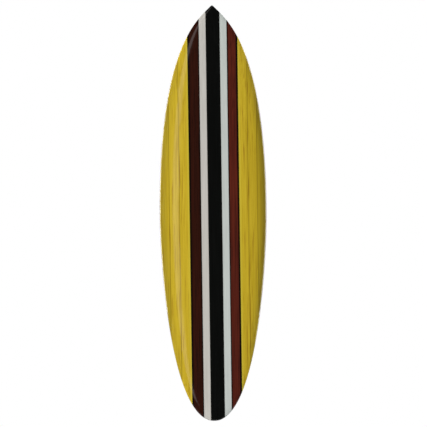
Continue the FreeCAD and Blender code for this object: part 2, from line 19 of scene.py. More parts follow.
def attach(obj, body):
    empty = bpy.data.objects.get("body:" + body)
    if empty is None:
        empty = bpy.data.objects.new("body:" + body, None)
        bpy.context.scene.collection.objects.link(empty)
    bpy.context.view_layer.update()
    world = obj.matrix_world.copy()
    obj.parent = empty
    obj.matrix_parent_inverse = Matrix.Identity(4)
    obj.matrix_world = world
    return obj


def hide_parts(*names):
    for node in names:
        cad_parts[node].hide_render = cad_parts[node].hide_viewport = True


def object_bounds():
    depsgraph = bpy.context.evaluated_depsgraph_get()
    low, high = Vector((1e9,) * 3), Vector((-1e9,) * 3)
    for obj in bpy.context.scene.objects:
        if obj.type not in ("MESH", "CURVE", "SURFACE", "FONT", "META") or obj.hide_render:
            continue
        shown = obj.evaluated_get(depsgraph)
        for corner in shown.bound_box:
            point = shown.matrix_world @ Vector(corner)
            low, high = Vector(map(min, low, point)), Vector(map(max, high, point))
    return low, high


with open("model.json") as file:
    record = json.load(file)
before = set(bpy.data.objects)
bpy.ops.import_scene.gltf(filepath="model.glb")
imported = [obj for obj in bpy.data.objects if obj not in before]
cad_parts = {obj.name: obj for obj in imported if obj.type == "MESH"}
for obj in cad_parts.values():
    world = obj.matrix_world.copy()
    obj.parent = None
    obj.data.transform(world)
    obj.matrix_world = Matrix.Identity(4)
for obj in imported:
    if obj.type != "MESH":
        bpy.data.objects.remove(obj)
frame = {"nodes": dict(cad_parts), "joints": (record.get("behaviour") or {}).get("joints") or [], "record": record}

CAD_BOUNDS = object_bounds()
WELD = 1e-6
BISECTIONS = 48
log = logging.getLogger("surfboard")

Pair = tuple[float, float]
Colour = tuple[float, float, float]


class Side(Enum):
    """The two sides of the board, seen by someone who faces the deck."""

    LEFT = -1
    RIGHT = 1


class BoardFace(Enum):
    """The two lofted faces that meet at the rail's apex."""

    BOTTOM = "bottom"
    DECK = "deck"


# --- curves and meshes -------------------------------------------------------

def bezier(points: Sequence[Pair], t: float) -> Pair:
    """Finds a point on a cubic curve.

    Args:
        points: the curve's four control points.
        t: how far along the curve, from 0 to 1.

    Returns:
        The point's two coordinates.
    """
    s = 1.0 - t
    weights = (s ** 3, 3 * s * s * t, 3 * s * t * t, t ** 3)
    return (sum(w * p[0] for w, p in zip(weights, points)),
            sum(w * p[1] for w, p in zip(weights, points)))


def across(points: Sequence[Pair], place: float, axis: int = 0) -> float:
    """Finds a curve's other coordinate where its coordinate on axis reaches place.

    Args:
        points: a cubic curve's control points, steady in the coordinate on axis.
        place: the coordinate to reach.
        axis: 0 or 1.

    Returns:
        The other coordinate there.
    """
    low, high = 0.0, 1.0
    rising = points[3][axis] > points[0][axis]
    for _ in range(BISECTIONS):
        middle = (low + high) / 2
        if (bezier(points, middle)[axis] < place) == rising:
            low = middle
        else:
            high = middle
    return bezier(points, (low + high) / 2)[1 - axis]


def spline_weights(count: int, samples: int) -> np.ndarray:
    """Works out the weights of a clamped cubic spline's control points.

    Args:
        count: how many control points the spline has.
        samples: how many steps to take along it, closer together at both ends.

    Returns:
        One row of weights for each sample, the ends included.
    """
    spans = count - 3
    knots = np.concatenate([np.zeros(3), np.arange(spans + 1), np.full(3, spans)]).astype(float)
    rows = []
    for step in range(samples + 1):
        v = spans * (1 - math.cos(math.pi * step / samples)) / 2
        v = min(v, spans - 1e-9)
        basis = np.array([1.0 if knots[i] <= v < knots[i + 1] else 0.0
                          for i in range(len(knots) - 1)])
        for degree in (1, 2, 3):
            raised = np.zeros(len(basis) - 1)
            for i in range(len(raised)):
                left, right = knots[i + degree] - knots[i], knots[i + degree + 1] - knots[i + 1]
                if left > 0:
                    raised[i] += (v - knots[i]) / left * basis[i]
                if right > 0:
                    raised[i] += (knots[i + degree + 1] - v) / right * basis[i + 1]
            basis = raised
        rows.append(basis)
    return np.array(rows)


def tube_from_sections(sections: np.ndarray) -> bmesh.types.BMesh:
    """Rolls a grid into a closed tube through ring-shaped sections and caps its ends.

    Args:
        sections: places by section, by point round the section, by coordinate; the
            last point of a section is the same place as its first.

    Returns:
        A closed mesh with its faces pointing outwards.
    """
    steps, points = sections.shape[0] - 1, sections.shape[1] - 1
    bm = bmesh.new()
    bmesh.ops.create_grid(bm, x_segments=points, y_segments=steps, size=1.0)
    for vert in bm.verts:
        column = round((vert.co.x + 1) / 2 * points)
        row = round((vert.co.y + 1) / 2 * steps)
        vert.co = Vector(sections[row, column])
    bmesh.ops.remove_doubles(bm, verts=bm.verts[:], dist=WELD)
    close_holes(bm)
    bmesh.ops.recalc_face_normals(bm, faces=bm.faces[:])
    return bm


def close_holes(bm: bmesh.types.BMesh) -> None:
    """Fills every open loop of edges with a flat face whose rim is sharp."""
    rims = [edge for edge in bm.edges if edge.is_boundary]
    if rims:
        bmesh.ops.holes_fill(bm, edges=rims, sides=0)
        for edge in rims:
            edge.smooth = False


def keep_inside(bm: bmesh.types.BMesh, point: Vector, outwards: Vector) -> None:
    """Cuts a closed mesh with a plane, drops what lies outside it and closes the cut.

    Args:
        bm: the mesh, changed in place.
        point: a place on the plane.
        outwards: the plane's normal, towards what is dropped.
    """
    geometry = bm.verts[:] + bm.edges[:] + bm.faces[:]
    bmesh.ops.bisect_plane(bm, geom=geometry, dist=WELD / 10, plane_co=point,
                           plane_no=outwards, clear_outer=True)
    close_holes(bm)


def piece_from(bm: bmesh.types.BMesh, name: str) -> bpy.types.Object:
    """Turns a finished mesh into a smooth-shaded object at the origin.

    Args:
        bm: the mesh; it is freed.
        name: the object's name.

    Returns:
        The new object, linked to the scene.
    """
    mesh = bpy.data.meshes.new(name)
    for face in bm.faces:
        face.smooth = True
    bm.to_mesh(mesh)
    bm.free()
    piece = bpy.data.objects.new(name, mesh)
    bpy.context.scene.collection.objects.link(piece)
    return piece


def combined(piece: bpy.types.Object, cutter: bpy.types.Object, operation: str) -> None:
    """Combines a piece with a cutter by a boolean, applied to the piece's mesh.

    Args:
        piece: the object that is changed.
        cutter: the other object, which is kept.
        operation: DIFFERENCE or INTERSECT.
    """
    modifier = piece.modifiers.new("cut", "BOOLEAN")
    modifier.operation = operation
    modifier.solver = "EXACT"
    modifier.object = cutter
    bpy.context.view_layer.update()
    graph = bpy.context.evaluated_depsgraph_get()
    mesh = bpy.data.meshes.new_from_object(piece.evaluated_get(graph))
    mesh.name = piece.name
    piece.modifiers.remove(modifier)
    old = piece.data
    piece.data = mesh
    bpy.data.meshes.remove(old)


def remove(piece: bpy.types.Object) -> None:
    """Deletes a helper object and its mesh."""
    mesh = piece.data
    bpy.data.objects.remove(piece)
    bpy.data.meshes.remove(mesh)


def place_piece(piece: bpy.types.Object, body: str, replaces: str) -> None:
    """Fixes a new piece to its body and hides the CAD node it stands for."""
    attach(piece, body)
    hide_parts(replaces)
    log.info("%s: %d faces on %s", piece.name, len(piece.data.polygons), body)


# --- the board's form --------------------------------------------------------

@dataclass(frozen=True)
class BoardForm:
    """The board's outline, rocker, thickness and section."""

    length: float
    width: float = 0.499
    wide_point: float = 0.0082
    nose_fullness: float = 0.801
    nose_half_angle: float = math.radians(41.3)
    nose_handle: float = 0.078
    nose_tip_radius: float = 0.005
    tail_fullness: float = 0.245
    tail_roundness: float = 0.201
    thickness: float = 0.067
    nose_rocker: float = 0.115
    nose_rocker_power: float = 2.6
    tail_rocker: float = 0.045
    tail_rocker_power: float = 2.2
    nose_edge: float = 0.013
    tail_edge: float = 0.016
    foil_power: float = 2.2
    edge_rounding: float = 0.008
    end_flat: float = 0.00025
    deck_crown: float = 0.03
    stations: int = 250
    face_steps: int = 46

    @property
    def half(self) -> float:
        """Half the board's length."""
        return self.length / 2

    @property
    def limit(self) -> float:
        """Where the curves that close each end would meet."""
        return self.half + self.end_flat

    def half_width(self, z: float) -> float:
        """Gives half the board's width at z."""
        widest = (self.wide_point, self.width / 2)
        if z < self.wide_point:
            return across((widest, (self.wide_point - self.tail_fullness, self.width / 2),
                           (-self.limit, self.tail_roundness), (-self.limit, 0.0)), z)
        sine = math.sin(self.nose_half_angle)
        tip = self.limit - self.nose_tip_radius
        if z > tip + self.nose_tip_radius * sine:
            return math.sqrt(max(self.nose_tip_radius ** 2 - (z - tip) ** 2, 0.0))
        point = self.limit + self.nose_tip_radius * (1 / sine - 1)
        handle = (point - self.nose_handle * math.cos(self.nose_half_angle),
                  self.nose_handle * sine)
        return across((widest, (self.wide_point + self.nose_fullness, self.width / 2),
                       handle, (point, 0.0)), z)

    def bottom_y(self, z: float) -> float:
        """Gives the place of the bottom's centreline at z."""
        if z > 0:
            return -self.nose_rocker * (z / self.half) ** self.nose_rocker_power
        return -self.tail_rocker * (-z / self.half) ** self.tail_rocker_power

    def thickness_at(self, z: float) -> float:
        """Gives the thickness on the centreline at z, closing at both ends."""
        edge = self.nose_edge if z > 0 else self.tail_edge
        full = edge + (self.thickness - edge) * (1 - abs(z / self.half) ** self.foil_power)
        gap = self.limit - abs(z)
        if gap >= self.edge_rounding:
            return full
        return full * math.sqrt(1 - (1 - gap / self.edge_rounding) ** 2)

    def control_points(self, face: BoardFace) -> np.ndarray:
        """Gives a face's section from the left rail to the right.

        Args:
            face: the bottom or the deck.

        Returns:
            Rows of (share of the half width, share of the thickness above the bottom).
        """
        if face is BoardFace.BOTTOM:
            rail, middle = [(1.0, 0.40), (1.0, 0.12), (0.85, 0.02), (0.50, 0.0)], (0.0, 0.0)
        else:
            rail = [(1.0, 0.40), (1.0, 0.68), (0.86, 0.90), (0.50, 1.0 - self.deck_crown)]
            middle = (0.0, 1.0 + self.deck_crown / 2)
        left = [(-a, b) for a, b in rail]
        return np.array(left + [middle] + rail[::-1])

    def skin(self) -> bmesh.types.BMesh:
        """Models the whole board as one closed mesh."""
        weights = spline_weights(9, self.face_steps)
        bottom = weights @ self.control_points(BoardFace.BOTTOM)
        deck = weights @ self.control_points(BoardFace.DECK)
        ring = np.vstack([bottom, deck[::-1][1:]])
        start = math.acos(self.half / self.limit)
        sections = []
        for step in range(self.stations + 1):
            turn = start + (math.pi - 2 * start) * step / self.stations
            z = -self.limit * math.cos(turn)
            wide, thick, base = self.half_width(z), self.thickness_at(z), self.bottom_y(z)
            sections.append(np.column_stack([ring[:, 0] * wide, base - ring[:, 1] * thick,
                                             np.full(len(ring), z)]))
        return tube_from_sections(np.array(sections))


# --- shader nodes ------------------------------------------------------------

@dataclass
class NodeCanvas:
    """Adds shader nodes to a tree and links them by socket name."""

    tree: bpy.types.NodeTree

    def add(self, kind: str, settings: dict[str, object] | None = None,
            **inputs: object) -> bpy.types.Node:
        """Adds a node.

        Args:
            kind: the node's type, without the ShaderNode prefix.
            settings: the node's own properties.
            inputs: a value or an output socket for each input, named with underscores.

        Returns:
            The new node.
        """
        node = self.tree.nodes.new("ShaderNode" + kind)
        for name, value in (settings or {}).items():
            setattr(node, name, value)
        for name, value in inputs.items():
            self.feed(node, name.replace("_", " "), value)
        return node

    def put(self, socket: bpy.types.NodeSocket, value: object) -> None:
        """Gives an input socket a value, or links an output socket to it."""
        if isinstance(value, bpy.types.NodeSocket):
            self.tree.links.new(value, socket)
        elif isinstance(value, tuple) and len(value) == 3 and socket.type == "RGBA":
            socket.default_value = (*value, 1.0)
        else:
            socket.default_value = value

    def feed(self, node: bpy.types.Node, name: str, value: object) -> None:
        """Fills the node's enabled input of that name."""
        self.put(next(s for s in node.inputs if s.name == name and s.enabled), value)

    def maths(self, operation: str, first: object, second: object = 0.0) -> bpy.types.NodeSocket:
        """Adds a Math node and returns its output."""
        node = self.add("Math", {"operation": operation})
        for socket, value in zip(node.inputs, (first, second)):
            self.put(socket, value)
        return node.outputs[0]

    def blend(self, share: object, first: object, second: object,
              mode: str = "MIX") -> bpy.types.NodeSocket:
        """Adds a colour Mix node and returns its colour."""
        node = self.add("Mix", {"data_type": "RGBA", "blend_type": mode})
        for index, value in ((0, share), (6, first), (7, second)):
            self.put(node.inputs[index], value)
        return node.outputs[2]

    def roughen(self, shader: bpy.types.Node, height: object, strength: float,
                distance: float) -> None:
        """Bends a shader's normal by a height."""
        bump = self.add("Bump", Strength=strength, Distance=distance, Height=height)
        self.feed(shader, "Normal", bump.outputs["Normal"])

    def stretch(self, value: object, low: float, high: float, to_low: float = 0.0,
                to_high: float = 1.0) -> bpy.types.NodeSocket:
        """Adds a clamped Map Range node and returns its result."""
        node = self.add("MapRange", {"clamp": True}, Value=value, From_Min=low, From_Max=high,
                        To_Min=to_low, To_Max=to_high)
        return node.outputs["Result"]


def new_group(name: str, inputs: dict[str, tuple[str, object]],
              outputs: dict[str, str]) -> tuple[NodeCanvas, bpy.types.Node, bpy.types.Node]:
    """Starts a shader node group.

    Args:
        name: the group's name.
        inputs: for each input, its socket kind and default value.
        outputs: for each output, its socket kind.

    Returns:
        The group's canvas, its input node and its output node.
    """
    tree = bpy.data.node_groups.new(name, "ShaderNodeTree")
    for title, (kind, value) in inputs.items():
        socket = tree.interface.new_socket(name=title, in_out="INPUT",
                                           socket_type="NodeSocket" + kind)
        if value is not None:
            socket.default_value = value
    for title, kind in outputs.items():
        tree.interface.new_socket(name=title, in_out="OUTPUT", socket_type="NodeSocket" + kind)
    canvas = NodeCanvas(tree)
    return canvas, tree.nodes.new("NodeGroupInput"), tree.nodes.new("NodeGroupOutput")


def grain_group() -> bpy.types.NodeTree:
    """Builds the figure of sawn wood that runs along the board.

    Returns:
        A group that gives masks of streaks, dark lines and pores, a slow tone and wavy
        rings. It takes a place, the streaks' width and length, how far they wander, and
        a number that sets one plank's pattern apart from the next.
    """
    canvas, given, result = new_group(
        "plank_grain",
        {"Place": ("Vector", None), "Streak Width": ("Float", 0.008),
         "Streak Length": ("Float", 0.2), "Wander": ("Float", 0.004), "Plank": ("Float", 0.0)},
        {"Streaks": "Float", "Lines": "Float", "Pores": "Float", "Tone": "Float",
         "Rings": "Float"})
    parts = canvas.add("SeparateXYZ", Vector=given.outputs["Place"])
    along = parts.outputs["Z"]
    drift = canvas.add("TexNoise", {"noise_dimensions": "2D"}, Scale=1.0, Detail=2.0,
                       Vector=canvas.add("CombineXYZ", X=canvas.maths("MULTIPLY", along, 1.6),
                                         Y=given.outputs["Plank"]).outputs[0])
    shift = canvas.maths("MULTIPLY", canvas.maths("SUBTRACT", drift.outputs["Fac"], 0.5),
                         given.outputs["Wander"])
    side = canvas.maths("ADD", parts.outputs["X"], shift)

    def field(width: object, length: object, offset: float, detail: float,
              roughness: float) -> bpy.types.NodeSocket:
        """Adds a noise that is stretched along the board."""
        place = canvas.add("CombineXYZ", X=canvas.maths("DIVIDE", side, width),
                           Y=canvas.maths("DIVIDE", parts.outputs["Y"], width),
                           Z=canvas.maths("DIVIDE", along, length)).outputs[0]
        noise = canvas.add("TexNoise", {"noise_dimensions": "4D"}, Vector=place, Scale=1.0,
                           W=canvas.maths("ADD", given.outputs["Plank"], offset),
                           Detail=detail, Roughness=roughness)
        return noise.outputs["Fac"]

    width, length = given.outputs["Streak Width"], given.outputs["Streak Length"]
    broad = field(width, length, 0.0, 3.0, 0.55)
    fine = field(canvas.maths("MULTIPLY", width, 0.22), canvas.maths("MULTIPLY", length, 0.6),
                 3.7, 2.0, 0.6)
    streaks = canvas.maths("ADD", canvas.maths("MULTIPLY", broad, 0.68),
                           canvas.maths("MULTIPLY", fine, 0.32))
    canvas.feed(result, "Streaks", canvas.stretch(streaks, 0.34, 0.66))
    lines = field(canvas.maths("MULTIPLY", width, 0.5), canvas.maths("MULTIPLY", length, 0.8),
                  5.3, 2.0, 0.5)
    canvas.feed(result, "Lines", canvas.stretch(lines, 0.56, 0.70))
    pores = field(canvas.maths("MULTIPLY", width, 0.07), canvas.maths("MULTIPLY", length, 0.05),
                  9.1, 1.0, 0.5)
    canvas.feed(result, "Pores", canvas.stretch(pores, 0.62, 0.76))
    tone = field(canvas.maths("MULTIPLY", width, 5.0), canvas.maths("MULTIPLY", length, 3.0),
                 17.0, 1.0, 0.5)
    canvas.feed(result, "Tone", canvas.stretch(tone, 0.3, 0.7))
    bend = field(canvas.maths("MULTIPLY", width, 3.0), canvas.maths("MULTIPLY", length, 2.0),
                 23.0, 1.0, 0.4)
    phase = canvas.maths("ADD", canvas.maths("DIVIDE", side, width),
                         canvas.maths("MULTIPLY", bend, 5.0))
    wave = canvas.maths("SINE", canvas.maths("MULTIPLY", phase, 2 * math.pi))
    canvas.feed(result, "Rings", canvas.stretch(wave, -1.0, 1.0))
    return canvas.tree


def flow_coat_group() -> bpy.types.NodeTree:
    """Builds the slight unevenness of brushed and polished resin.

    Returns:
        A group that gives a height for a Bump node and a scuff mask from a place.
    """
    canvas, given, result = new_group(
        "flow_coat", {"Place": ("Vector", None), "Ripple Size": ("Float", 0.05),
                      "Scuff Size": ("Float", 0.02)},
        {"Height": "Float", "Scuffs": "Float"})
    ripple = canvas.add("TexNoise", Vector=given.outputs["Place"], Detail=1.0,
                        Scale=canvas.maths("DIVIDE", 1.0, given.outputs["Ripple Size"]))
    canvas.feed(result, "Height", ripple.outputs["Fac"])
    scuff = canvas.add("TexNoise", Vector=given.outputs["Place"], Detail=6.0, Roughness=0.7,
                       Scale=canvas.maths("DIVIDE", 1.0, given.outputs["Scuff Size"]))
    canvas.feed(result, "Scuffs", canvas.stretch(scuff.outputs["Fac"], 0.55, 0.75))
    return canvas.tree


def glue_gap_group() -> bpy.types.NodeTree:
    """Builds the distance to a plank's glue lines.

    Returns:
        A group that gives the gaps to the inner and the nearest glue line, in metres.
    """
    canvas, given, result = new_group(
        "glue_gap", {"Place": ("Vector", None), "Offset": ("Float", 0.0), "Lean": ("Float", 0.0),
                     "Inner": ("Float", 0.0), "Outer": ("Float", 0.0)},
        {"Inner Gap": "Float", "Gap": "Float"})
    parts = canvas.add("SeparateXYZ", Vector=given.outputs["Place"])
    lean = canvas.maths("MULTIPLY", parts.outputs["Z"], given.outputs["Lean"])
    side = canvas.maths("SUBTRACT", canvas.maths("ADD", parts.outputs["X"], lean),
                        given.outputs["Offset"])
    gaps = [canvas.maths("ABSOLUTE", canvas.maths("SUBTRACT", side, given.outputs[face]))
            for face in ("Inner", "Outer")]
    canvas.feed(result, "Inner Gap", gaps[0])
    canvas.feed(result, "Gap", canvas.maths("MINIMUM", *gaps))
    return canvas.tree


@dataclass
class FinishShop:
    """Keeps the shared node groups and starts each finish's material."""

    grain: bpy.types.NodeTree = field(default_factory=grain_group)
    gap: bpy.types.NodeTree = field(default_factory=glue_gap_group)
    coat: bpy.types.NodeTree = field(default_factory=flow_coat_group)

    def start(self, name: str) -> tuple[bpy.types.Material, NodeCanvas, bpy.types.Node]:
        """Starts a material.

        Args:
            name: the material's name.

        Returns:
            The material, its canvas and its Principled BSDF node.
        """
        material = bpy.data.materials.new(name)
        material.use_nodes = True
        nodes = material.node_tree.nodes
        shader = next(node for node in nodes if node.type == "BSDF_PRINCIPLED")
        return material, NodeCanvas(material.node_tree), shader

    def use(self, canvas: NodeCanvas, tree: bpy.types.NodeTree,
            **inputs: object) -> bpy.types.Node:
        """Places a shared group in a material, with its inputs."""
        node = canvas.add("Group", {"node_tree": tree})
        for name, value in inputs.items():
            canvas.feed(node, name.replace("_", " "), value)
        return node


SHOP = FinishShop()


@dataclass(frozen=True)
class GlueUp:
    """Where the glue lines lie: their shift to the right and their lean to the left."""

    offset: float = 0.0097
    skew: float = math.radians(0.478)

    def line(self, face: float, z: float) -> float:
        """Gives a glue line's place across the board at z."""
        return face + self.offset - z * math.tan(self.skew)

    def plane(self, face: float) -> tuple[Vector, Vector]:
        """Gives a point on a glue line's plane and its normal to the right."""
        normal = Vector((math.cos(self.skew), 0, math.sin(self.skew)))
        return Vector((self.offset, 0, 0)) + normal * face, normal


@dataclass(frozen=True)
class ClearCoatedWood:
    """A plank's wood or stain under the board's clear gloss coat, with painted shade that darkens it towards the
    rail and a painted highlight along its inner glue line, where these are set.
    """

    light: Colour
    dark: Colour
    line: Colour
    plank: float
    # Colour of the painted shade at the rail: the plank is darkened towards the rail, where the surface turns away
    # from the light.
    rail: Colour = (0.15, 0.115, 0.006)
    # Colour of a painted highlight: a lighter band along the plank's inner glue line.
    inner_painted_highlight: Colour | None = None
    streak_width: float = 0.011
    streak_length: float = 0.26
    wander: float = 0.010
    rings: float = 0.2
    lines: float = 0.6
    pores: float = 0.35
    # Where across the half width the painted rail shade starts, and how strong it gets.
    rail_shade_start: float = 0.82
    rail_shade_strength: float = 0.0
    seam: float = 0.5
    seam_width: float = 0.003
    roughness: float = 0.5
    specular: float = 0.08
    coat_roughness: float = 0.075
    tone_depth: float = 0.4
    pore_colour: float = 0.4
    seam_colour: float = 0.15
    # How far from the inner glue line the painted highlight reaches, and how strong it is.
    highlight_reach: Pair = (0.004, 0.011)
    highlight_strength: float = 0.8
    scuffing: float = 0.15
    figure_height: float = 0.15
    bump: float = 0.06
    bump_distance: float = 0.0006

    def material(self, name: str, glue_up: GlueUp, inner: float,
                 outer: float) -> bpy.types.Material:
        """Builds the material for one plank.

        Args:
            name: the material's name.
            glue_up: where the board's glue lines lie.
            inner: the plank's inner glue line.
            outer: its outer glue line.

        Returns:
            The material.
        """
        material, canvas, shader = SHOP.start(name)
        place = canvas.add("TexCoord").outputs["Object"]
        grain = SHOP.use(canvas, SHOP.grain, Place=place, Streak_Width=self.streak_width,
                         Streak_Length=self.streak_length, Wander=self.wander,
                         Plank=self.plank)
        figure = canvas.blend(self.rings, grain.outputs["Streaks"], grain.outputs["Rings"])
        wood = canvas.blend(figure, self.dark, self.light)
        toned = canvas.blend(canvas.stretch(grain.outputs["Tone"], 0.0, 1.0, 0.0,
                                            self.tone_depth), wood, self.dark)
        lined = canvas.blend(canvas.maths("MULTIPLY", grain.outputs["Lines"], self.lines),
                             toned, self.line)
        colour = canvas.blend(canvas.maths("MULTIPLY", grain.outputs["Pores"], self.pores),
                              lined, tuple(part * self.pore_colour for part in self.line))
        gaps = SHOP.use(canvas, SHOP.gap, Place=place, Offset=glue_up.offset,
                        Lean=math.tan(glue_up.skew), Inner=inner, Outer=outer)
        # Painted highlight: a lighter band along the inner glue line.
        if self.inner_painted_highlight:
            glow = canvas.stretch(gaps.outputs["Inner Gap"], *self.highlight_reach,
                                  self.highlight_strength, 0.0)
            colour = canvas.blend(glow, colour, self.inner_painted_highlight)
        # Painted shade: darker towards the rail, where the surface turns away from the light.
        if self.rail_shade_strength:
            edge = canvas.add("Attribute", {"attribute_name": "rail_share"}).outputs["Fac"]
            rail_shade_mask = canvas.stretch(edge, self.rail_shade_start, 1.0, 0.0, self.rail_shade_strength)
            colour = canvas.blend(rail_shade_mask, colour, self.rail)
        seam = canvas.stretch(gaps.outputs["Gap"], 0.0, self.seam_width, self.seam, 0.0)
        canvas.feed(shader, "Base Color",
                    canvas.blend(seam, colour, tuple(part * self.seam_colour
                                                     for part in self.line)))
        coat = SHOP.use(canvas, SHOP.coat, Place=place)
        canvas.feed(shader, "Roughness", canvas.stretch(
            coat.outputs["Scuffs"], 0.0, 1.0, self.roughness, self.roughness + self.scuffing))
        height = canvas.maths("ADD", coat.outputs["Height"],
                              canvas.maths("MULTIPLY", figure, self.figure_height))
        canvas.roughen(shader, height, self.bump, self.bump_distance)
        canvas.feed(shader, "Coat Weight", 1.0)
        canvas.feed(shader, "Coat Roughness", self.coat_roughness)
        canvas.feed(shader, "Specular IOR Level", self.specular)
        return material


# --- the glued-up board ------------------------------------------------------

@dataclass(frozen=True)
class Plank:
    """One plank or stringer: its node, the cuts that bound it, its finish and its slot."""

    node: str
    slot: str
    inner: float
    outer: float
    finish: ClearCoatedWood
    side: Side | None = None


@dataclass
class GluedBoard:
    """The planks and stringers of the blank, cut from one smooth form."""

    form: BoardForm
    centre: float = 0.065
    white: float = 0.032
    inner_stringer: float = 0.004
    left_redwood: float = 0.043
    right_redwood: float = 0.038
    outer_stringer: float = 0.007
    feather: float = 0.003
    glue_up: GlueUp = GlueUp()
    pieces: dict[str, bpy.types.Object] = field(default_factory=dict)

    def planks(self) -> list[Plank]:
        """Lists every plank from the middle outwards."""
        half = self.centre / 2
        layout = [Plank("centre_plank", "black_plank", -half, half, BLACK_STAIN)]
        for side in Side:
            name = side.name.lower()
            sign = side.value
            redwood = self.left_redwood if side is Side.LEFT else self.right_redwood
            strips = half + self.white + self.inner_stringer + redwood + self.outer_stringer
            yellow = (self.form.width / 2 - sign * self.glue_up.offset - strips) / 3
            widths = (("white_plank_", "white_plank", self.white),
                      ("inner_stringer_", "dark_stringer", self.inner_stringer),
                      ("redwood_plank_", "redwood_plank", redwood),
                      ("outer_stringer_", "dark_stringer", self.outer_stringer),
                      ("yellow_plank_inner_", "yellow_plank", yellow),
                      ("yellow_plank_middle_", "yellow_plank", yellow),
                      ("rail_plank_", "yellow_plank", self.form.width))
            face = half
            for strip, slot, width in widths:
                layout.append(Plank(strip + name, slot, sign * face, sign * (face + width),
                                    PLANK_FINISHES[strip + name], side))
                face += width
        return layout

    def between(self, skin: bmesh.types.BMesh, low: float, high: float) -> bmesh.types.BMesh:
        """Cuts the part of the board between two glue lines out of a copy of its form.

        Args:
            skin: the whole board, left as it is.
            low: the left glue line.
            high: the right glue line.

        Returns:
            The new closed mesh.
        """
        bm = skin.copy()
        for face, sign in ((low, -1), (high, 1)):
            if abs(face) < self.form.width / 2:
                point, normal = self.glue_up.plane(face)
                keep_inside(bm, point, normal * sign)
        return bm

    def rail_ends(self, face: float) -> Pair:
        """Finds where a rail plank has thinned to a feather edge, tail end first."""
        ends = []
        for tip in (-self.form.half, self.form.half):
            wide, thin = self.form.wide_point, tip
            for _ in range(BISECTIONS):
                middle = (wide + thin) / 2
                room = self.form.half_width(middle) - abs(self.glue_up.line(face, middle))
                if room > self.feather:
                    wide = middle
                else:
                    thin = middle
            ends.append(wide)
        return ends[0], ends[1]

    def cut(self, skin: bmesh.types.BMesh, plank: Plank, rail_face: float) -> bmesh.types.BMesh:
        """Models one plank.

        Args:
            skin: the whole board, left as it is.
            plank: the plank.
            rail_face: the glue line inside the rail plank on the plank's side.

        Returns:
            The plank's closed mesh.
        """
        bm = self.between(skin, min(plank.inner, plank.outer), max(plank.inner, plank.outer))
        if plank.node.startswith("rail_plank"):
            tail, nose = self.rail_ends(rail_face)
            keep_inside(bm, Vector((0, 0, tail)), Vector((0, 0, -1)))
            keep_inside(bm, Vector((0, 0, nose)), Vector((0, 0, 1)))
        if plank.node.startswith("yellow_plank_middle"):
            tail, nose = self.rail_ends(rail_face)
            far = rail_face + math.copysign(self.form.width, rail_face)
            for place, outwards in ((tail, 1), (nose, -1)):
                tip = self.between(skin, min(rail_face, far), max(rail_face, far))
                keep_inside(tip, Vector((0, 0, place)), Vector((0, 0, outwards)))
                spare = bpy.data.meshes.new("feather")
                tip.to_mesh(spare)
                tip.free()
                bm.from_mesh(spare)
                bpy.data.meshes.remove(spare)
        return bm

    def mark_rail(self, piece: bpy.types.Object) -> None:
        """Writes at each point how far across the board's half width it lies."""
        mesh = piece.data
        shares = [min(abs(vert.co.x) / max(self.form.half_width(vert.co.z), WELD), 1.0)
                  for vert in mesh.vertices]
        mesh.attributes.new("rail_share", "FLOAT", "POINT").data.foreach_set("value", shares)

    def build(self) -> None:
        """Models and dresses every plank."""
        skin = self.form.skin()
        planks = self.planks()
        faces = {plank.side: plank.inner for plank in planks if plank.node.startswith("rail")}
        for plank in planks:
            rail_face = faces.get(plank.side, self.form.width)
            piece = piece_from(self.cut(skin, plank, rail_face), "wood_" + plank.node)
            self.mark_rail(piece)
            piece.data.materials.append(plank.finish.material(
                plank.node, self.glue_up, plank.inner, plank.outer))
            self.pieces[plank.node] = piece
            place_piece(piece, "board", plank.node)
        skin.free()


def yellow(plank: float, share: float, rail_shade: float) -> ClearCoatedWood:
    """Gives one yellow plank's finish.

    Args:
        plank: the number that sets its grain apart.
        share: how bright it is beside the brightest plank; this is painted shade, which draws the planks darker
            towards the rails and on the right side, away from the light.
        rail_shade: how strongly painted shade darkens it to olive at the rail, where the surface turns away from
            the light.

    Returns:
        The finish.
    """
    # Painted shade: share dims the whole plank, and the rail setting darkens it to olive near the rail.
    light, dark, line = (tuple(part * share for part in colour) for colour in
                         ((0.67, 0.495, 0.036), (0.50, 0.35, 0.015), (0.33, 0.175, 0.011)))
    return ClearCoatedWood(light, dark, line, plank, rail_shade_strength=rail_shade, lines=0.85,
                           rings=0.3, streak_width=0.009)


BLACK_STAIN = ClearCoatedWood((0.0042, 0.0046, 0.0042), (0.0022, 0.0024, 0.0022),
                              (0.0012, 0.0013, 0.0012), 1.0, specular=0.02)
DARK_STRIP = ClearCoatedWood((0.0075, 0.0042, 0.0032), (0.003, 0.002, 0.0018),
                             (0.0015, 0.001, 0.001), 2.0, specular=0.02)
WARM_WHITE = ClearCoatedWood((0.61, 0.60, 0.565), (0.52, 0.50, 0.465), (0.38, 0.36, 0.33), 3.0,
                             lines=0.25, pores=0.1, seam=0.35)
COOL_WHITE = ClearCoatedWood((0.61, 0.65, 0.62), (0.51, 0.55, 0.53), (0.37, 0.40, 0.38), 4.0,
                             lines=0.25, pores=0.1, seam=0.35)
LEFT_REDWOOD = ClearCoatedWood((0.044, 0.0085, 0.004), (0.017, 0.005, 0.003),
                               (0.008, 0.003, 0.002), 5.0, specular=0.04)
RIGHT_REDWOOD = ClearCoatedWood((0.130, 0.021, 0.011), (0.055, 0.010, 0.0065),
                                (0.018, 0.005, 0.004), 6.0, specular=0.04)
# Colour of the painted highlight along the inner yellow planks' inner glue lines.
PAINTED_HIGHLIGHT = (0.62, 0.50, 0.045)

